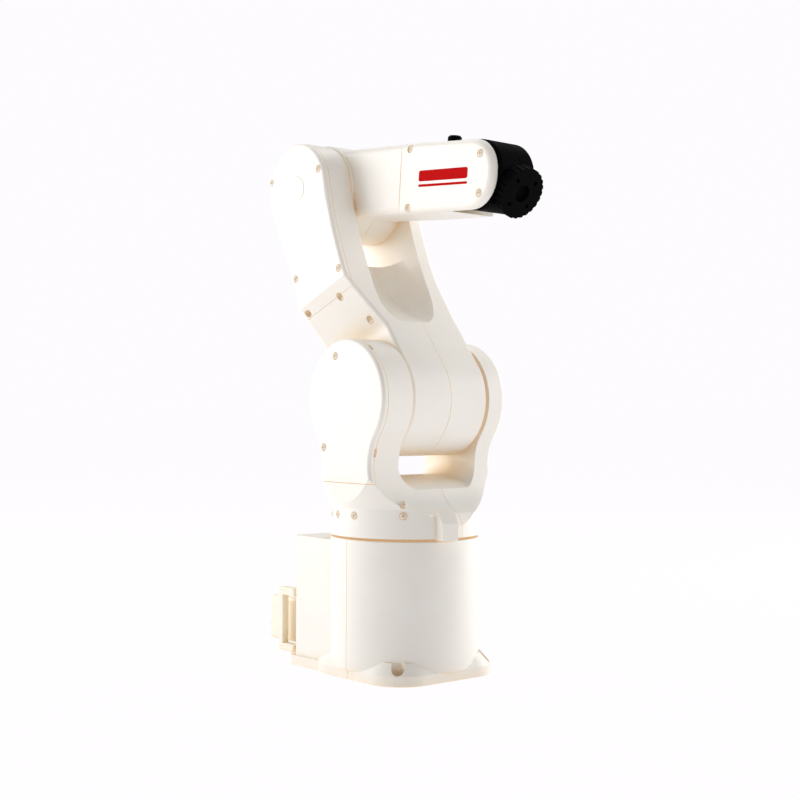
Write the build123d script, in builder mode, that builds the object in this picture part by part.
from build123d import *
import math
import os

os.makedirs("parts", exist_ok=True)

# ---- driving dimensions, mm; the arm stands on Z = 0 and its turning column is on the Z axis ----
WALL = 2.4
RUN = 0.05  # radial clearance of a shaft running in its bush
SEAT = 0.02  # radial clearance of a piece fixed in its seat
BUSH = 1.5  # wall of a plain bush
LIP = 1.0  # thickness of a bush's flange
BUSH_RIM = 2.0  # how far that flange reaches out
THIN_LIP = 0.5  # its thickness where there is little room
SEAM_GAP = 0.3  # shadow gap where two shells meet
ALL = (-300.0, 300.0)  # beyond every face of the arm, for cutting blocks

COLUMN_R = 37.0
COLUMN_TOP = 67.8
PLATE_HALF = 36.0
PLATE_CORNER = 19.0
PLATE_RIM = 5.0
PLATE_SLOPE = 5.5
BOX_BACK = -50.0
BOX_HALF = 32.0
BOX_TOP = 66.0
BOX_CORNER = 4.0
TAIL_BACK = -52.5
TAIL_HALF = 33.5
FLOOR = 3.0
DECK = 5.0
BOLT_X = (-41.0, 28.0)
BOLT_HALF = 28.0
BOLT_HOLE_R = 1.7
BOLT_POCKET_R = 3.2
BOLT_POCKET_Z = 4.0
BOLT_POCKET_TOP = 10.5
PORT_Y = -21.0  # the connector block at the back, its four caps, and the bar beside it
PORT_Z = 20.4
PORT_WIDTH = 8.0
PORT_HEIGHT = 23.0
PORT_DEPTH = 29.0
PORT_PITCH = 5.6
PORT_CAP_R = 2.5
PORT_CAP_DEPTH = 3.4
GUARD_Y = -29.6
GUARD_Z = 22.0
GUARD_BAR = 4.0
GUARD_REACH = 13.4
GUARD_HEIGHT = 33.0

HUB_R = 13.0
SERVO_SHAFT_R = 5.9
TURN_Z = 69.0  # underside of the turning shoulder
J2_Z = 135.8
YOKE_R = 29.0
YOKE_NEAR = (-39.0, -20.4)
YOKE_FAR = (30.3, 41.0)
SADDLE_TOP = 98.0
SADDLE_FOOT = (39.0, 69.0)

LOWER_LENGTH = 116.0
LOWER_LEAN = 23.4  # degrees back from upright in the drawn pose
BARREL_R = 28.4
BARREL = (-19.6, 29.5)
SEAM_Y = 5.0
FORK_R = 23.6
FORK_NEAR = (-35.0, -18.5)
FORK_FAR = (17.5, 26.0)
WEB_TOP = 76.0

ELBOW_R = 24.4
ELBOW = (-17.8, 16.8)
FORE_DROP = 4.0  # degrees below level in the drawn pose
FORE_OFFSET = 4.7  # forearm centre line above the elbow axis
FORE_HALF_Y = 16.5
FORE_CORNER = 4.0
REAR_HALF_Z = 17.1
FRONT_HALF_Z = 15.9
ROLL_SPLIT = 59.8
ROLL_GAP = 0.5
FORE_END = 123.6
FORE_NOSE = 15.0  # corner radius of the forearm's front end, seen from the side
FORE_RIM = 3.2
WRIST_X = 109.4
CHEEK_IN = 13.0

WRIST_DROP = 25.0  # degrees below the forearm in the drawn pose
WRIST_R = 16.4
WRIST_SWEEP = 22.6  # radius kept clear about the wrist axis
WRIST_Y = (-12.5, 9.5)
WRIST_FACE = 14.0
FLANGE_BACK = 14.6
FLANGE_FACE = 19.8
FLANGE_R = 12.2
FLUTES = 24

AXLE_2_R = 6.0
AXLE_3_R = 5.0
TUBE_4_R = 8.0
PIN_5_R = 3.5
SHAFT_6_R = 2.0

HEAD_R = 1.7
HEAD_H = 1.4
HEAD_GAP = 0.3  # around a head in its sunk seat
HEAD_SUNK = 1.0  # a seat's depth below the face around it
HEAD_DEEP = 1.5  # the same on a sloping face
CROSS = 0.45  # width of a head's cross recess
SHANK_R = 1.0


def side(y):
    """A plane standing along the arm at y: local x forward, local y up, facing right."""
    return Plane(origin=(0, y, 0), x_dir=(1, 0, 0), z_dir=(0, -1, 0))


def front(x):
    """A plane standing across the arm at x: local x to the left, local y up, facing forward."""
    return Plane(origin=(x, 0, 0), x_dir=(0, 1, 0), z_dir=(1, 0, 0))


def disc(radius, span, x=0.0, z=0.0, bore=0.0):
    """A round piece lying across the arm."""
    with BuildPart() as made:
        with BuildSketch(side(span[1])):
            with Locations((x, z)):
                Circle(radius)
                if bore:
                    Circle(bore, mode=Mode.SUBTRACT)
        extrude(amount=span[1] - span[0])
    return made.part


def post(radius, span, x=0.0, y=0.0, bore=0.0):
    """A round upright piece."""
    with BuildPart() as made:
        with BuildSketch(Plane.XY.offset(span[0])):
            with Locations((x, y)):
                Circle(radius)
                if bore:
                    Circle(bore, mode=Mode.SUBTRACT)
        extrude(amount=span[1] - span[0])
    return made.part


def rod(radius, span, y=0.0, z=0.0, bore=0.0):
    """A round piece lying along the arm."""
    with BuildPart() as made:
        with BuildSketch(front(span[0])):
            with Locations((y, z)):
                Circle(radius)
                if bore:
                    Circle(bore, mode=Mode.SUBTRACT)
        extrude(amount=span[1] - span[0])
    return made.part


def block(x, y, z):
    """A plain box between three pairs of limits."""
    with BuildPart() as made:
        with BuildSketch(Plane.XY.offset(z[0])):
            with Locations(((x[0] + x[1]) / 2, (y[0] + y[1]) / 2)):
                Rectangle(x[1] - x[0], y[1] - y[0])
        extrude(amount=z[1] - z[0])
    return made.part


def screw(length):
    """A small domed screw with a cross recess, its head's seat at Z = 0 and its shank downwards."""
    with BuildPart() as made:
        with BuildSketch(Plane.XZ):
            with BuildLine():
                Line((0, -length), (SHANK_R, -length))
                Line((SHANK_R, -length), (SHANK_R, 0))
                Line((SHANK_R, 0), (HEAD_R, 0))
                Line((HEAD_R, 0), (HEAD_R, HEAD_H / 2))
                ThreePointArc((HEAD_R, HEAD_H / 2), (HEAD_R * 0.7, HEAD_H * 0.85), (0, HEAD_H))
                Line((0, HEAD_H), (0, -length))
            make_face()
        revolve(axis=Axis.Z)
        with BuildSketch(Plane.XY.offset(HEAD_H * 0.5)):
            Rectangle(HEAD_R * 1.3, CROSS)
            Rectangle(CROSS, HEAD_R * 1.3)
        extrude(amount=HEAD_H, mode=Mode.SUBTRACT)
    return made.part


def screw_set(places, length):
    """The same screw at each place, as one group of separate pieces."""
    return Compound(children=[screw(length).moved(place) for place in places])


def screw_seats(places, length):
    """The sunk seats and holes that a set of screws needs."""
    with BuildPart() as made:
        for place in places:
            with Locations(place):
                Cylinder(HEAD_R + HEAD_GAP, 4, align=(Align.CENTER, Align.CENTER, Align.MIN))
                Cylinder(SHANK_R + SEAT, length + 1, align=(Align.CENTER, Align.CENTER, Align.MAX))
    return made.part


def pillars(places, radius, length):
    """Solid stock for screws to bite in, under each seat."""
    with BuildPart() as made:
        for place in places:
            with Locations(place):
                Cylinder(radius, length, align=(Align.CENTER, Align.CENTER, Align.MAX))
    return made.part


def bush(radius, wall, lip):
    """A flanged bush across the arm: its sleeve fills wall, its flange fills lip."""
    with BuildPart() as made:
        add(disc(radius + RUN + BUSH, wall, bore=radius + RUN))
        add(disc(radius + RUN + BUSH + BUSH_RIM, lip, bore=radius + RUN))
    return made.part


def halves(part, names, cut_y, place=Location()):
    """Split a shell along the length of the arm at cut_y and keep its right and left halves."""
    for label, y in ((names[0], (ALL[0], cut_y - SEAM_GAP / 2)), (names[1], (cut_y + SEAM_GAP / 2, ALL[1]))):
        with BuildPart() as half:
            add(block(ALL, y, ALL))
            add(part, mode=Mode.INTERSECT)
        keep(half.part, label, place)


def keep(part, label, place=Location()):
    """Put a finished piece in its place on the arm and write it out."""
    piece = part.moved(place)
    piece.label = label
    export_step(piece, f"parts/{label}.step")


LOWER = Location((0, 0, J2_Z), (0, -LOWER_LEAN, 0))
elbow_x = -LOWER_LENGTH * math.sin(math.radians(LOWER_LEAN))
elbow_z = J2_Z + LOWER_LENGTH * math.cos(math.radians(LOWER_LEAN))
FORE = Location((elbow_x, 0, elbow_z), (0, FORE_DROP, 0))
WRIST = FORE * Location((WRIST_X, 0, FORE_OFFSET), (0, WRIST_DROP, 0))


# ======================================= base =======================================
PANEL_X = (BOX_BACK, BOX_BACK + WALL)
PANEL_SCREW_LENGTH = 6.0
SEAM_SCREW_LENGTH = 7.0
SEAM_SCREW_X = 2.5
SEAM_POST_R = 3.2
PANEL_POST_R = 4.0
PANEL_RIB = 2.0
BOLT_BOSS = 1.5  # stock round a bolt pocket
BASE_EDGE = 0.6
BOARD_X = (-44.0, -42.4)
BOARD_Y = 20.0
BOARD_Z = (16.0, 52.0)
CHIP_X = (-42.4, -39.4)
CHIP_Y = 8.0
CHIP_Z = (24.0, 40.0)
STANDOFF_R = 2.2
STANDOFF_Y = 17.0
STANDOFF_Z = (20.0, 48.0)
SERVO_1_R = 18.0
SERVO_1_RIM_R = 22.0
SERVO_1_Z = (9.0, 44.0, 50.0)  # top of the foot rim, underside and top of the upper rim
SEAM_SCREW_PLACES = [(y, z) for y in (-31.0, 31.0) for z in (22.0, 52.0)]
PANEL_SCREW_PLACES = ((-25.0, 45.0), (-25.0, 59.0), (25.0, 14.0), (25.0, 59.0))
BOLT_PLACES = [(x, y) for x in BOLT_X for y in (-BOLT_HALF, BOLT_HALF)]
panel_screws = [Location((BOX_BACK + 1.0, y, z), (0, -90, 0)) for y, z in PANEL_SCREW_PLACES]
seam_screws = [Location((SEAM_SCREW_X, y, z), (0, 90, 0)) for y, z in SEAM_SCREW_PLACES]

with BuildPart() as base_form:
    with BuildSketch(Plane.XY):
        RectangleRounded(2 * PLATE_HALF, 2 * PLATE_HALF, PLATE_CORNER)
        with Locations((TAIL_BACK / 2, 0)):
            RectangleRounded(-TAIL_BACK, 2 * TAIL_HALF, 4)
    extrude(amount=PLATE_RIM)
    with BuildSketch(Plane.XY.offset(PLATE_RIM)):
        RectangleRounded(2 * PLATE_HALF, 2 * PLATE_HALF, PLATE_CORNER)
    extrude(amount=PLATE_SLOPE, taper=40)
    add(post(COLUMN_R, (PLATE_RIM, COLUMN_TOP)))
    with BuildSketch(Plane.XY):
        with Locations((BOX_BACK / 2, 0)):
            RectangleRounded(-BOX_BACK, 2 * BOX_HALF, BOX_CORNER)
    extrude(amount=BOX_TOP)
    fillet(base_form.edges().group_by(Axis.Z)[0], BASE_EDGE)
    fillet(base_form.faces().filter_by(Axis.Z).sort_by(Axis.Z)[-1].edges(), BASE_EDGE)

with BuildPart() as bolt_bosses:
    for x, y in BOLT_PLACES:
        add(post(BOLT_POCKET_R + BOLT_BOSS, (0, BOLT_POCKET_TOP + BOLT_BOSS), x=x, y=y))
    add(base_form.part, mode=Mode.INTERSECT)

with BuildPart() as screw_posts:
    for y, z in SEAM_SCREW_PLACES:
        add(rod(SEAM_POST_R, (-SEAM_SCREW_LENGTH, SEAM_SCREW_X + 3), y=y, z=z))
    for y, z in PANEL_SCREW_PLACES:
        outward = math.copysign(BOX_HALF, y)
        add(rod(PANEL_POST_R, (PANEL_X[1], PANEL_X[1] + PANEL_SCREW_LENGTH), y=y, z=z))
        add(block(
            (PANEL_X[1], PANEL_X[1] + PANEL_SCREW_LENGTH),
            (min(y, outward), max(y, outward)),
            (z - PANEL_RIB, z + PANEL_RIB),
        ))
    add(base_form.part, mode=Mode.INTERSECT)

with BuildPart() as rear_slice:
    add(block((ALL[0], PANEL_X[1] + SEAM_GAP / 2), ALL, (PLATE_RIM, ALL[1])))

with BuildPart() as base_shell:
    add(base_form.part)
    add(post(COLUMN_R - WALL, (FLOOR, COLUMN_TOP - DECK)), mode=Mode.SUBTRACT)
    box_room = block((PANEL_X[1], 0), (-BOX_HALF + WALL, BOX_HALF - WALL), (FLOOR, BOX_TOP - WALL))
    add(box_room, mode=Mode.SUBTRACT)
    add(rear_slice.part, mode=Mode.SUBTRACT)
    add(post(HUB_R + RUN + BUSH + SEAT, (COLUMN_TOP - DECK, COLUMN_TOP)), mode=Mode.SUBTRACT)
    add(bolt_bosses.part)
    add(screw_posts.part)
    add(screw_seats(seam_screws, SEAM_SCREW_LENGTH), mode=Mode.SUBTRACT)
    add(screw_seats(panel_screws, PANEL_SCREW_LENGTH), mode=Mode.SUBTRACT)
    for x, y in BOLT_PLACES:
        add(post(BOLT_POCKET_R, (BOLT_POCKET_Z, BOLT_POCKET_TOP), x=x, y=y), mode=Mode.SUBTRACT)
        add(post(BOLT_HOLE_R, (0, BOLT_POCKET_Z), x=x, y=y), mode=Mode.SUBTRACT)

for label, x in (("base_front_shell", (SEAM_GAP / 2, ALL[1])), ("base_rear_shell", (ALL[0], -SEAM_GAP / 2))):
    with BuildPart() as half:
        add(block(x, ALL, ALL))
        add(base_shell.part, mode=Mode.INTERSECT)
    keep(half.part, label)
keep(screw_set(seam_screws, SEAM_SCREW_LENGTH), "base_seam_screws")

with BuildPart() as rear_panel:
    add(rear_slice.part)
    add(base_form.part, mode=Mode.INTERSECT)
    add(block((PANEL_X[1] - SEAM_GAP / 2, ALL[1]), ALL, ALL), mode=Mode.SUBTRACT)
    add(block(ALL, ALL, (ALL[0], PLATE_RIM + SEAM_GAP)), mode=Mode.SUBTRACT)
    add(screw_seats(panel_screws, PANEL_SCREW_LENGTH), mode=Mode.SUBTRACT)
keep(rear_panel.part, "rear_panel")
keep(screw_set(panel_screws, PANEL_SCREW_LENGTH), "rear_panel_screws")

# the connector at the back and the bar that guards it
with BuildPart() as connector:
    with BuildSketch(front(BOX_BACK)):
        with Locations((PORT_Y, PORT_Z)):
            RectangleRounded(PORT_WIDTH, PORT_HEIGHT, 2)
    extrude(amount=-PORT_DEPTH)
    fillet(connector.faces().sort_by(Axis.X)[0].edges(), 1.2)
keep(connector.part, "connector_block")
with BuildPart() as port_caps:
    with BuildSketch(front(BOX_BACK - PORT_DEPTH)):
        with Locations((PORT_Y, PORT_Z)):
            with GridLocations(0, PORT_PITCH, 1, 4):
                Circle(PORT_CAP_R)
    extrude(amount=-PORT_CAP_DEPTH)
    fillet(port_caps.faces().group_by(Axis.X)[0].edges(), 1.0)
keep(port_caps.part, "connector_caps")
with BuildPart() as guard:
    with BuildSketch(side(GUARD_Y + GUARD_BAR / 2)):
        with Locations((BOX_BACK - GUARD_REACH / 2, GUARD_Z)):
            RectangleRounded(GUARD_REACH, GUARD_HEIGHT, 2)
        with Locations((BOX_BACK - (GUARD_REACH - GUARD_BAR) / 2, GUARD_Z)):
            Rectangle(GUARD_REACH - GUARD_BAR, GUARD_HEIGHT - 2 * GUARD_BAR, mode=Mode.SUBTRACT)
    extrude(amount=GUARD_BAR)
    fillet(guard.faces().filter_by(Axis.Y).edges().filter_by(Axis.Z), 0.8)
keep(guard.part, "guard_handle")

with BuildPart() as board:
    add(block(BOARD_X, (-BOARD_Y, BOARD_Y), BOARD_Z))
    add(block(CHIP_X, (-CHIP_Y, CHIP_Y), CHIP_Z))
    for z in STANDOFF_Z:
        for y in (-STANDOFF_Y, STANDOFF_Y):
            add(rod(STANDOFF_R, (PANEL_X[1], BOARD_X[0]), y=y, z=z))
keep(board.part, "control_board")

# ---- turning drive: a geared servo on the floor turns the hub through the deck ----
with BuildPart() as servo_1:
    add(post(SERVO_1_RIM_R, (FLOOR, SERVO_1_Z[0])))
    add(post(SERVO_1_R, (SERVO_1_Z[0], SERVO_1_Z[2]), bore=SERVO_SHAFT_R + RUN))
    add(post(SERVO_1_RIM_R, SERVO_1_Z[1:], bore=SERVO_SHAFT_R + RUN))
keep(servo_1.part, "j1_servo")
with BuildPart() as bush_1:
    add(post(HUB_R + RUN + BUSH, (COLUMN_TOP - DECK, COLUMN_TOP), bore=HUB_R + RUN))
    add(post(HUB_R + RUN + BUSH + BUSH_RIM, (COLUMN_TOP, COLUMN_TOP + LIP), bore=HUB_R + RUN))
keep(bush_1.part, "j1_bush")

# ===================================== shoulder =====================================
WAIST_TURN = 36.0  # where the waist leaves the round yoke head, degrees below level
WAIST_FOOT = 79.0
FOOT_SIDE = 38.0
FOOT_TOP = 83.0
YOKE_REACH = 49.0
YOKE_EDGE = 1.8
SADDLE_CORNER = 9.0
COVER_Y = -35.6
COVER_Z = 95.0
TAB_ANGLE = -10.0
PRY_NOTCHES = ((15.0, 159.6), (19.0, 110.0))
FOOT_SCREW_LENGTH = 7.0
COVER_SCREW_LENGTH = 8.0
FOOT_PILLAR = (3.2, 10.0)  # radius and length of the stock round a screw
COVER_PILLAR = (3.0, 15.5)
NOTCH = 0.8
NOTCH_HALF = 2.0
HUB_FOOT = 52.0
HUB_BORE_R = 9.0
HUB_RIM_R = 21.0
HUB_RIM = 3.0
SHAFT_1_Z = (40.0, 55.0)
SERVO_2_BACK = -36.4
TAB_HALF = 4.5


def shoulder_form():
    """The shoulder's outer form: a round foot that rises into two yoke arms."""
    with BuildPart() as round_limit:
        with BuildSketch(Plane.XZ):
            Polygon(
                (0, 60), (COLUMN_R, 60), (COLUMN_R, FOOT_TOP), (YOKE_REACH, 112),
                (YOKE_REACH, 200), (0, 200), align=None,
            )
        revolve(axis=Axis.Z)
    turn = math.radians(WAIST_TURN)
    leave = (YOKE_R * math.cos(turn), J2_Z - YOKE_R * math.sin(turn))
    with BuildPart() as form:
        with BuildSketch(side(YOKE_FAR[1])):
            with BuildLine():
                CenterArc((0, J2_Z), YOKE_R, -WAIST_TURN, 90 + WAIST_TURN)
                waist = TangentArc(leave, (FOOT_SIDE, WAIST_FOOT), tangent=(-math.sin(turn), -math.cos(turn)))
                Polyline(waist @ 1, (FOOT_SIDE, TURN_Z), (0, TURN_Z), (0, J2_Z + YOKE_R))
            make_face()
            mirror(about=Plane.YZ)
        extrude(amount=YOKE_FAR[1] - YOKE_NEAR[0])
        fillet([e for e in form.faces().filter_by(Axis.Y).edges() if e.geom_type == GeomType.CIRCLE], YOKE_EDGE)
        with BuildSketch(front(-60)):
            Polygon(
                (-FOOT_SIDE, 60), (FOOT_SIDE, 60), (FOOT_SIDE, FOOT_TOP), (YOKE_FAR[1], 104),
                (YOKE_FAR[1], 200), (YOKE_NEAR[0], 200), (YOKE_NEAR[0], SADDLE_TOP), (-FOOT_SIDE, FOOT_TOP),
                align=None,
            )
        extrude(amount=120, mode=Mode.INTERSECT)
        add(round_limit.part, mode=Mode.INTERSECT)
    return form.part


def saddle():
    """The hollow between the yoke arms."""
    with BuildPart() as made:
        with BuildSketch(side(YOKE_FAR[0])):
            with BuildLine():
                floor = ThreePointArc(
                    (-SADDLE_FOOT[0], SADDLE_FOOT[1]), (0, SADDLE_TOP), (SADDLE_FOOT[0], SADDLE_FOOT[1]),
                )
                Polyline(floor @ 1, (SADDLE_FOOT[0], 200), (-SADDLE_FOOT[0], 200), floor @ 0)
            make_face()
        extrude(amount=YOKE_FAR[0] - YOKE_NEAR[1])
        fillet(made.edges().filter_by(GeomType.CIRCLE), SADDLE_CORNER)
    return made.part


def on_foot(angle, z, depth):
    """A screw seat on the round foot, depth below its surface."""
    turn = math.radians(angle)
    out = Vector(math.cos(turn), math.sin(turn), 0)
    return Plane(origin=out * (COLUMN_R - depth) + Vector(0, 0, z), z_dir=out).location


FOOT_SCREW_PLACES = ((-42, 85.6), (-42, 80.2), (-82, 79.6), (-103, 79.4), (-116, 79.2))
foot_screws = [on_foot(angle, z, HEAD_SUNK) for angle, z in FOOT_SCREW_PLACES]
cover_screws = [
    Location((x, YOKE_NEAR[0] + HEAD_SUNK, z), (90, 0, 0)) for x, z in ((-7.4, 156.5), (-16.0, 112.0))
]
SERVO_2_R = 18.4
arch_r = (SADDLE_FOOT[0] ** 2 + (SADDLE_TOP - SADDLE_FOOT[1]) ** 2) / (2 * (SADDLE_TOP - SADDLE_FOOT[1]))
with BuildPart() as foot_hollow:
    add(post(COLUMN_R - WALL, (TURN_Z + WALL, SADDLE_TOP)))
    add(disc(arch_r - WALL, (-36, 36), z=SADDLE_TOP - arch_r), mode=Mode.INTERSECT)

with BuildPart() as yoke_hollow:
    for wall, low in ((YOKE_NEAR, 92), (YOKE_FAR, 96)):
        inside = (wall[0] + WALL, wall[1] - WALL)
        add(disc(YOKE_R - WALL, inside, z=J2_Z))
        add(block((-16.6, 16.6), (max(inside[0], -34.4), min(inside[1], 36.4)), (low, J2_Z)))

with BuildPart() as shoulder_pillars:
    add(pillars([on_foot(angle, z, 0) for angle, z in FOOT_SCREW_PLACES], *FOOT_PILLAR))
    add(pillars(cover_screws, *COVER_PILLAR))
    add(shoulder_form(), mode=Mode.INTERSECT)

with BuildPart() as shoulder_shell:
    add(shoulder_form())
    add(saddle(), mode=Mode.SUBTRACT)
    add(foot_hollow.part, mode=Mode.SUBTRACT)
    add(yoke_hollow.part, mode=Mode.SUBTRACT)
    add(shoulder_pillars.part)
    add(post(HUB_R + SEAT, (TURN_Z, TURN_Z + WALL)), mode=Mode.SUBTRACT)
    for wall in ((YOKE_NEAR[1] - WALL, YOKE_NEAR[1]), (YOKE_FAR[0], YOKE_FAR[0] + WALL)):
        add(disc(AXLE_2_R + RUN + BUSH + SEAT, wall, z=J2_Z), mode=Mode.SUBTRACT)
    add(screw_seats(foot_screws, FOOT_SCREW_LENGTH), mode=Mode.SUBTRACT)
    add(screw_seats(cover_screws, COVER_SCREW_LENGTH), mode=Mode.SUBTRACT)
    for x, z in PRY_NOTCHES:
        wide = (x - NOTCH_HALF, x + NOTCH_HALF)
        high = (z - NOTCH_HALF, z + NOTCH_HALF)
        add(block(wide, (COVER_Y - NOTCH, COVER_Y + NOTCH), high), mode=Mode.SUBTRACT)

with BuildPart() as cover_slice:
    add(block(ALL, (ALL[0], COVER_Y), (COVER_Z, ALL[1])))
with BuildPart() as yoke_cover:
    add(cover_slice.part)
    add(shoulder_shell.part, mode=Mode.INTERSECT)
    add(block(ALL, (COVER_Y - SEAM_GAP, ALL[1]), ALL), mode=Mode.SUBTRACT)
    add(block(ALL, ALL, (ALL[0], COVER_Z + SEAM_GAP)), mode=Mode.SUBTRACT)
keep(yoke_cover.part, "yoke_cover")
with BuildPart() as shoulder_main:
    add(shoulder_shell.part)
    add(cover_slice.part, mode=Mode.SUBTRACT)
halves(shoulder_main.part, ("shoulder_right_shell", "shoulder_left_shell"), SEAM_Y)
keep(screw_set(foot_screws, FOOT_SCREW_LENGTH), "shoulder_screws")
keep(screw_set(cover_screws, COVER_SCREW_LENGTH), "yoke_cover_screws")

with BuildPart() as tab:
    with BuildSketch(side(TAB_HALF)):
        Polygon((34, 68.4), (42.3, 68.4), (42.3, 76.6), (38.6, 81.5), (33, 81.5), align=None)
    extrude(amount=2 * TAB_HALF)
    add(post(COLUMN_R + SEAT, ALL), mode=Mode.SUBTRACT)
keep(tab.part, "stop_tab", Location((0, 0, 0), (0, 0, TAB_ANGLE)))

with BuildPart() as hub_1:
    add(post(HUB_R, (HUB_FOOT, TURN_Z + WALL), bore=HUB_BORE_R))
    add(post(HUB_RIM_R, (TURN_Z + WALL, TURN_Z + WALL + HUB_RIM), bore=HUB_BORE_R))
    add(post(SERVO_SHAFT_R, SHAFT_1_Z))
    add(post(HUB_R, (HUB_FOOT, SHAFT_1_Z[1])))
keep(hub_1.part, "j1_hub")

with BuildPart() as servo_2:
    add(disc(SERVO_2_R, (SERVO_2_BACK, YOKE_NEAR[1] - WALL), z=J2_Z, bore=AXLE_2_R + RUN + BUSH + 0.6))
keep(servo_2.part, "j2_servo")
keep(
    bush(AXLE_2_R, (YOKE_NEAR[1] - WALL, YOKE_NEAR[1]), (YOKE_NEAR[1], YOKE_NEAR[1] + 0.6)),
    "j2_right_bush", Location((0, 0, J2_Z)),
)
keep(
    bush(AXLE_2_R, (YOKE_FAR[0], YOKE_FAR[0] + WALL), (YOKE_FAR[0] - 0.6, YOKE_FAR[0])),
    "j2_left_bush", Location((0, 0, J2_Z)),
)

# ==================== lower arm, drawn upright with its shoulder axis at the origin ====================
FLANK_AHEAD = 225.0  # radius of the hollow curve down the front of the arm
FLANK_BEHIND = 350.0
ARM_EDGE = 1.8
ARM_COVER_Y = -31.5
ARM_COVER_Z = 50.0
ARM_PILLAR = (2.9, 13.2)
NEAR_BEND = [(BARREL[0], 30.4), (FORK_NEAR[0], 58.0)]
FAR_BEND = [(BARREL[1], 26.0), (FORK_FAR[1], 60.0)]
BEND_LOW_R = 10.0
BEND_HIGH_R = 45.0
SLOT_CORNER = 11.0
ARM_SCREW_LENGTH = 9.0
CAP_SEAT = 0.8
CAP_PROUD = 0.3
ELBOW_CAP_R = 7.0
CLAMP_2_R = 11.0
SERVO_3_R = 15.0


def flank(radius, way):
    """Three points of the hollow curve that runs smoothly from the barrel into the head, ahead or behind."""
    low = BARREL_R + radius
    high = FORK_R + radius
    rise = (low**2 - high**2 + LOWER_LENGTH**2) / (2 * LOWER_LENGTH)
    centre = Vector(way * math.sqrt(low**2 - rise**2), rise)
    head = Vector(0, LOWER_LENGTH)
    return centre * (BARREL_R / low), centre - Vector(way * radius, 0), head + (centre - head) * (FORK_R / high)


def arm_form():
    """The lower arm's outer form: a barrel that narrows upwards and ends in a round head."""
    with BuildPart() as form:
        with BuildSketch(side(BARREL[1])):
            with BuildLine():
                ahead = ThreePointArc(*flank(FLANK_AHEAD, 1))
                behind = ThreePointArc(*flank(FLANK_BEHIND, -1))
                ThreePointArc(ahead @ 1, (0, LOWER_LENGTH + FORK_R), behind @ 1)
                ThreePointArc(behind @ 0, (0, -BARREL_R), ahead @ 0)
            make_face()
        extrude(amount=BARREL[1] - FORK_NEAR[0])
        with BuildSketch(front(-60)):
            with BuildLine():
                near = Line(*NEAR_BEND)
                far = Line(*FAR_BEND)
                Polyline(near @ 1, (FORK_NEAR[0], 160), (FORK_FAR[1], 160), far @ 1)
                Polyline(far @ 0, (BARREL[1], -40), (BARREL[0], -40), near @ 0)
            bent = make_face()
            fillet([v for v in bent.vertices() if 20 < v.Y < 45], BEND_LOW_R)
            fillet([v for v in bent.vertices() if 56 < v.Y < 70], BEND_HIGH_R)
        extrude(amount=120, mode=Mode.INTERSECT)
        fillet([e for e in form.edges() if e.geom_type != GeomType.LINE], ARM_EDGE)
    return form.part


with BuildPart() as fork_slot:
    with BuildSketch(side(FORK_FAR[0])):
        with BuildLine():
            slope = ThreePointArc((25.0, 30.0), (6.5, 50.5), (-2.0, WEB_TOP))
            Polyline(slope @ 1, (-9, WEB_TOP), (-40, WEB_TOP - 14), (-40, 160), (60, 160), (60, 30), slope @ 0)
        make_face()
    extrude(amount=FORK_FAR[0] - FORK_NEAR[1])
    fillet(fork_slot.edges().filter_by(GeomType.CIRCLE), SLOT_CORNER)

arm_screws = [
    Location((x, FORK_NEAR[0] + HEAD_SUNK, z), (90, 0, 0))
    for x, z in ((20.4, 116.4), (15.8, 63.0), (-17.6, 74.0), (-17.0, 130.0))
]
slope_screws = [
    Location((x, y + HEAD_DEEP, z), (90, 0, 0))
    for x, y, z in ((7.5, -30.6, 51.7), (-17.3, -31.4, 54.6), (14.7, -22.6, 36.0))
]

with BuildPart() as arm_pillars:
    add(pillars(arm_screws, *ARM_PILLAR))
    add(arm_form(), mode=Mode.INTERSECT)
    add(fork_slot.part, mode=Mode.SUBTRACT)

with BuildPart() as arm_shell:
    add(arm_form())
    add(fork_slot.part, mode=Mode.SUBTRACT)
    add(disc(BARREL_R - WALL, (BARREL[0] + WALL, BARREL[1] - WALL)), mode=Mode.SUBTRACT)
    add(block((-16, 4), (-14, 22), (20, 48)), mode=Mode.SUBTRACT)
    add(block((-16, -5), (-14, 22), (48, 66)), mode=Mode.SUBTRACT)
    add(disc(FORK_R - WALL, (FORK_NEAR[0] + WALL, FORK_NEAR[1] - WALL), z=LOWER_LENGTH), mode=Mode.SUBTRACT)
    add(block((-17, 14), (FORK_NEAR[0] + WALL, FORK_NEAR[1] - WALL), (68, LOWER_LENGTH)), mode=Mode.SUBTRACT)
    add(disc(FORK_R - WALL, (FORK_FAR[0] + WALL, FORK_FAR[1] - WALL), z=LOWER_LENGTH), mode=Mode.SUBTRACT)
    add(arm_pillars.part)
    add(disc(AXLE_2_R + SEAT, BARREL), mode=Mode.SUBTRACT)
    for wall in ((FORK_NEAR[1] - WALL, FORK_NEAR[1]), (FORK_FAR[0], FORK_FAR[0] + WALL)):
        add(disc(AXLE_3_R + RUN + BUSH + SEAT, wall, z=LOWER_LENGTH), mode=Mode.SUBTRACT)
    add(screw_seats(arm_screws + slope_screws, ARM_SCREW_LENGTH), mode=Mode.SUBTRACT)
    add(disc(ELBOW_CAP_R, (FORK_NEAR[0], FORK_NEAR[0] + CAP_SEAT), z=LOWER_LENGTH), mode=Mode.SUBTRACT)

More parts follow.
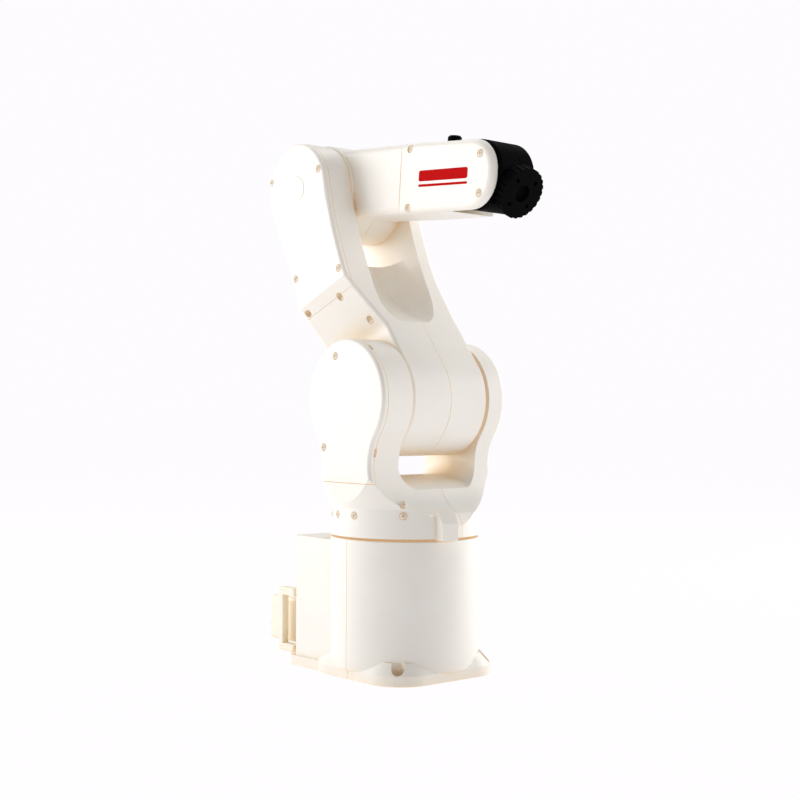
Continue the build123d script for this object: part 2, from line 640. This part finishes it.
with BuildPart() as arm_cover:
    add(block(ALL, (ALL[0], ARM_COVER_Y - SEAM_GAP), (ARM_COVER_Z, ALL[1])))
    add(arm_shell.part, mode=Mode.INTERSECT)
keep(arm_cover.part, "lower_arm_cover", LOWER)
with BuildPart() as arm_main:
    add(arm_shell.part)
    add(block(ALL, (ALL[0], ARM_COVER_Y), (ARM_COVER_Z, ALL[1])), mode=Mode.SUBTRACT)
halves(arm_main.part, ("lower_arm_right_shell", "lower_arm_left_shell"), SEAM_Y, LOWER)
keep(screw_set(arm_screws + slope_screws, ARM_SCREW_LENGTH), "lower_arm_screws", LOWER)
with BuildPart() as elbow_cap:
    add(disc(ELBOW_CAP_R - SEAT, (FORK_NEAR[0] - CAP_PROUD, FORK_NEAR[0] + CAP_SEAT), z=LOWER_LENGTH))
    chamfer(elbow_cap.faces().sort_by(Axis.Y)[0].edges(), CAP_PROUD)
keep(elbow_cap.part, "elbow_cap", LOWER)
keep(disc(AXLE_2_R, (-33, YOKE_FAR[1] - WALL - 1)), "j2_axle", LOWER)
with BuildPart() as collar_2:
    for span in ((BARREL[0] + WALL, BARREL[0] + WALL + 5), (BARREL[1] - WALL - 5, BARREL[1] - WALL)):
        add(disc(CLAMP_2_R, span, bore=AXLE_2_R + SEAT))
keep(collar_2.part, "j2_clamp_collars", LOWER)
elbow_spot = Location((0, 0, LOWER_LENGTH))
keep(
    bush(AXLE_3_R, (FORK_NEAR[1] - WALL, FORK_NEAR[1]), (FORK_NEAR[1], FORK_NEAR[1] + THIN_LIP)),
    "j3_right_bush", LOWER * elbow_spot,
)
keep(
    bush(AXLE_3_R, (FORK_FAR[0], FORK_FAR[0] + WALL), (FORK_FAR[0] - THIN_LIP, FORK_FAR[0])),
    "j3_left_bush", LOWER * elbow_spot,
)
keep(
    disc(SERVO_3_R, (FORK_NEAR[0] + WALL + 0.4, FORK_NEAR[1] - WALL), bore=AXLE_3_R + RUN + BUSH + 0.6),
    "j3_servo", LOWER * elbow_spot,
)

# ================= upper arm and forearm, drawn level with the elbow axis at the origin =================
def long_box(x, half_y, half_z, corner):
    """A box along the arm about the forearm's centre line, its long edges rounded."""
    with BuildPart() as made:
        with BuildSketch(front(x[0])):
            with Locations((0, FORE_OFFSET)):
                RectangleRounded(2 * half_y, 2 * half_z, corner)
        extrude(amount=x[1] - x[0])
    return made.part


FORE_SCREW_LENGTH = 6.0
FORE_PILLAR = (2.9, 8.0)
ELBOW_EDGE = 1.0
BUSH_4_LENGTH = 5.0
CLAMP_3_R = 9.5
CLAMP_3_WIDTH = 4.0
SERVO_4_R = 12.6
SERVO_4_X = (28.0, 51.0)
SERVO_4_PADS_X = (32.0, 50.0)
SERVO_4_PAD = 3.0
HUB_4_BACK = 26.0
HUB_4_BORE_R = 5.5
HUB_4_RIM_R = 10.5
HUB_4_RIM = 2.5
BUSH_4_X = (ROLL_SPLIT - BUSH_4_LENGTH, ROLL_SPLIT)
upper_screws = [
    Location((x, FORE_HALF_Y - HEAD_DEEP, z), (-90, 0, 0))
    for x, z in ((26.0, 18.4), (28.0, -9.0), (54.5, -9.0))
]
with BuildPart() as upper_pillars:
    add(pillars(upper_screws, *FORE_PILLAR))
    add(long_box((0, ROLL_SPLIT), FORE_HALF_Y, REAR_HALF_Z, FORE_CORNER), mode=Mode.INTERSECT)
with BuildPart() as upper_shell:
    add(disc(ELBOW_R, ELBOW))
    fillet(upper_shell.faces().filter_by(Axis.Y).edges(), ELBOW_EDGE)
    add(long_box((0, ROLL_SPLIT), FORE_HALF_Y, REAR_HALF_Z, FORE_CORNER))
    add(disc(ELBOW_R - WALL, (ELBOW[0] + WALL, ELBOW[1] - WALL)), mode=Mode.SUBTRACT)
    add(long_box((0, BUSH_4_X[0]), FORE_HALF_Y - WALL, REAR_HALF_Z - WALL, 2.6), mode=Mode.SUBTRACT)
    add(upper_pillars.part)
    add(disc(AXLE_3_R + SEAT, ELBOW), mode=Mode.SUBTRACT)
    add(rod(TUBE_4_R + RUN + BUSH + SEAT, BUSH_4_X, z=FORE_OFFSET), mode=Mode.SUBTRACT)
    add(screw_seats(upper_screws, FORE_SCREW_LENGTH), mode=Mode.SUBTRACT)
halves(upper_shell.part, ("upper_arm_right_shell", "upper_arm_left_shell"), 0, FORE)
keep(screw_set(upper_screws, FORE_SCREW_LENGTH), "upper_arm_screws", FORE)
keep(disc(AXLE_3_R, (-30, FORK_FAR[1] - WALL - 0.6)), "j3_axle", FORE)
with BuildPart() as collar_3:
    for edge in (ELBOW[0] + WALL, ELBOW[1] - WALL - CLAMP_3_WIDTH):
        add(disc(CLAMP_3_R, (edge, edge + CLAMP_3_WIDTH), bore=AXLE_3_R + SEAT))
keep(collar_3.part, "j3_clamp_collars", FORE)
with BuildPart() as bush_4:
    add(rod(TUBE_4_R + RUN + BUSH, BUSH_4_X, z=FORE_OFFSET, bore=TUBE_4_R + RUN))
    rim_x = (BUSH_4_X[0] - LIP, BUSH_4_X[0])
    add(rod(TUBE_4_R + RUN + BUSH + BUSH_RIM, rim_x, z=FORE_OFFSET, bore=TUBE_4_R + RUN))
keep(bush_4.part, "j4_bush", FORE)
with BuildPart() as servo_4:
    add(rod(SERVO_4_R, SERVO_4_X, z=FORE_OFFSET, bore=TUBE_4_R + 1.0))
    for z in (FORE_OFFSET - REAR_HALF_Z + WALL, FORE_OFFSET + REAR_HALF_Z - WALL - SERVO_4_PAD):
        add(block(SERVO_4_PADS_X, (-9, 9), (z, z + SERVO_4_PAD)))
keep(servo_4.part, "j4_servo", FORE)

FORE_START = ROLL_SPLIT + ROLL_GAP
SLOT_START = WRIST_X - WRIST_SWEEP
with BuildPart() as fore_form:
    with BuildSketch(side(FORE_HALF_Y)):
        Polygon(
            (FORE_START, FORE_OFFSET - REAR_HALF_Z), (FORE_END, FORE_OFFSET - FRONT_HALF_Z),
            (FORE_END, FORE_OFFSET + FRONT_HALF_Z), (FORE_START, FORE_OFFSET + REAR_HALF_Z), align=None,
        )
    extrude(amount=2 * FORE_HALF_Y)
    fillet(fore_form.faces().sort_by(Axis.X)[-1].edges().filter_by(Axis.Y), FORE_NOSE)
    outer_rims = fore_form.faces().filter_by(Axis.Y).edges().filter_by(lambda e: e.center().X > FORE_START + 1)
    fillet(outer_rims, FORE_RIM)

fore_screws = [
    Location((x, -FORE_HALF_Y + HEAD_DEEP, z), (90, 0, 0)) for x, z in ((66.0, 18.8), (66.4, -9.6))
]
cheek_screws = [
    Location((x, -FORE_HALF_Y + HEAD_SUNK, z), (90, 0, 0)) for x, z in ((115.2, 13.6), (115.6, -4.4))
]
CHEEK_SCREW_LENGTH = 1.6
CAP_X = 79.6  # the black cap on top, on its collar
CAP_R = 3.4
CAP_Z = (FORE_OFFSET + 18.3, FORE_OFFSET + 21.5)
CAP_STEM_R = 2.2
CAP_STEM_FOOT = FORE_OFFSET + 13.0
COLLAR_R = 3.9
with BuildPart() as fore_pillars:
    add(pillars(fore_screws, *FORE_PILLAR))
    add(fore_form.part, mode=Mode.INTERSECT)
with BuildPart() as fore_shell:
    add(fore_form.part)
    fore_room = long_box((FORE_START + WALL, SLOT_START - WALL), FORE_HALF_Y - WALL, FRONT_HALF_Z - WALL, 2)
    add(fore_room, mode=Mode.SUBTRACT)
    add(fore_pillars.part)
    add(disc(WRIST_SWEEP, (-CHEEK_IN, FORE_HALF_Y), x=WRIST_X, z=FORE_OFFSET), mode=Mode.SUBTRACT)
    add(block((WRIST_X, FORE_END), (-CHEEK_IN, FORE_HALF_Y), ALL), mode=Mode.SUBTRACT)
    add(rod(TUBE_4_R + SEAT, (FORE_START, FORE_START + WALL), z=FORE_OFFSET), mode=Mode.SUBTRACT)
    add(screw_seats(fore_screws, FORE_SCREW_LENGTH), mode=Mode.SUBTRACT)
    add(screw_seats(cheek_screws, CHEEK_SCREW_LENGTH), mode=Mode.SUBTRACT)
    add(disc(PIN_5_R + SEAT, (-FORE_HALF_Y + 1, -CHEEK_IN), x=WRIST_X, z=FORE_OFFSET), mode=Mode.SUBTRACT)
    add(post(COLLAR_R, (FORE_OFFSET + FRONT_HALF_Z - WALL, CAP_Z[0]), x=CAP_X))
    add(post(CAP_STEM_R, (0, ALL[1]), x=CAP_X), mode=Mode.SUBTRACT)
halves(fore_shell.part, ("forearm_right_shell", "forearm_left_shell"), 0, FORE)
keep(screw_set(fore_screws, FORE_SCREW_LENGTH), "forearm_screws", FORE)
keep(screw_set(cheek_screws, CHEEK_SCREW_LENGTH), "cheek_screws", FORE)
with BuildPart() as port_cap:
    add(post(CAP_R, CAP_Z, x=CAP_X))
    chamfer(port_cap.faces().sort_by(Axis.Z)[-1].edges(), 0.8)
    add(post(CAP_STEM_R - SEAT, (CAP_STEM_FOOT, CAP_Z[0]), x=CAP_X))
keep(port_cap.part, "port_cap", FORE)
with BuildPart() as hub_4:
    add(rod(TUBE_4_R, (HUB_4_BACK, FORE_START + WALL), z=FORE_OFFSET, bore=HUB_4_BORE_R))
    add(rod(HUB_4_RIM_R, (FORE_START + WALL, FORE_START + WALL + HUB_4_RIM), z=FORE_OFFSET, bore=HUB_4_BORE_R))
keep(hub_4.part, "j4_hub", FORE)
keep(disc(PIN_5_R, (-FORE_HALF_Y + 1, -4.8), x=WRIST_X, z=FORE_OFFSET), "j5_axle", FORE)

# =============== wrist and tool flange, drawn level with the wrist axis at the origin ===============
WRIST_WALL = 2.0
SERVO_5_R = 9.6
SERVO_5_END = -4.4
SERVO_6_R = 4.0
SERVO_6_BACK = -9.0
with BuildPart() as wrist_hollow:
    add(disc(WRIST_R - WRIST_WALL, (WRIST_Y[0] + WRIST_WALL, WRIST_Y[1] - WRIST_WALL)))
    add(block((WRIST_FACE - WRIST_WALL, ALL[1]), ALL, ALL), mode=Mode.SUBTRACT)
with BuildPart() as wrist_shell:
    add(disc(WRIST_R, WRIST_Y))
    add(block((WRIST_FACE, ALL[1]), ALL, ALL), mode=Mode.SUBTRACT)
    chamfer(wrist_shell.faces().filter_by(Axis.Y).edges(), 1.0)
    add(wrist_hollow.part, mode=Mode.SUBTRACT)
    add(disc(PIN_5_R + RUN + BUSH + SEAT, (WRIST_Y[0], WRIST_Y[0] + WRIST_WALL)), mode=Mode.SUBTRACT)
    add(rod(SHAFT_6_R + RUN + BUSH + SEAT, (WRIST_FACE - WRIST_WALL, WRIST_FACE)), mode=Mode.SUBTRACT)
halves(wrist_shell.part, ("wrist_right_shell", "wrist_left_shell"), 0, WRIST)
keep(
    bush(PIN_5_R, (WRIST_Y[0], WRIST_Y[0] + WRIST_WALL), (WRIST_Y[0] - 0.35, WRIST_Y[0])),
    "j5_bush", WRIST,
)
keep(disc(SERVO_5_R, (WRIST_Y[0] + WRIST_WALL, SERVO_5_END), bore=PIN_5_R + RUN), "j5_servo", WRIST)
keep(rod(SERVO_6_R, (SERVO_6_BACK, WRIST_FACE - WRIST_WALL), bore=SHAFT_6_R + RUN), "j6_servo", WRIST)
with BuildPart() as bush_6:
    add(rod(SHAFT_6_R + RUN + BUSH, (WRIST_FACE - WRIST_WALL, WRIST_FACE), bore=SHAFT_6_R + RUN))
    add(rod(SHAFT_6_R + RUN + BUSH + 1.5, (WRIST_FACE, WRIST_FACE + 0.4), bore=SHAFT_6_R + RUN))
keep(bush_6.part, "j6_bush", WRIST)

TOOL_PCD = 16.0
TOOL_HOLE_R = 1.0
PILOT_R = 4.0
with BuildPart() as flange:
    add(rod(FLANGE_R, (FLANGE_BACK, FLANGE_FACE)))
    with BuildSketch(front(FLANGE_BACK)):
        with PolarLocations(FLANGE_R + 0.55, FLUTES):
            Circle(1.0)
    extrude(amount=FLANGE_FACE - FLANGE_BACK, mode=Mode.SUBTRACT)
    add(rod(SHAFT_6_R, (0, FLANGE_BACK)))
    with BuildSketch(front(FLANGE_FACE)):
        Circle(PILOT_R)
    extrude(amount=-2.0, mode=Mode.SUBTRACT)
    with BuildSketch(front(FLANGE_FACE)):
        with PolarLocations(TOOL_PCD / 2, 4, start_angle=45):
            Circle(TOOL_HOLE_R)
    extrude(amount=FLANGE_BACK - FLANGE_FACE, mode=Mode.SUBTRACT)
keep(flange.part, "tool_flange", WRIST)
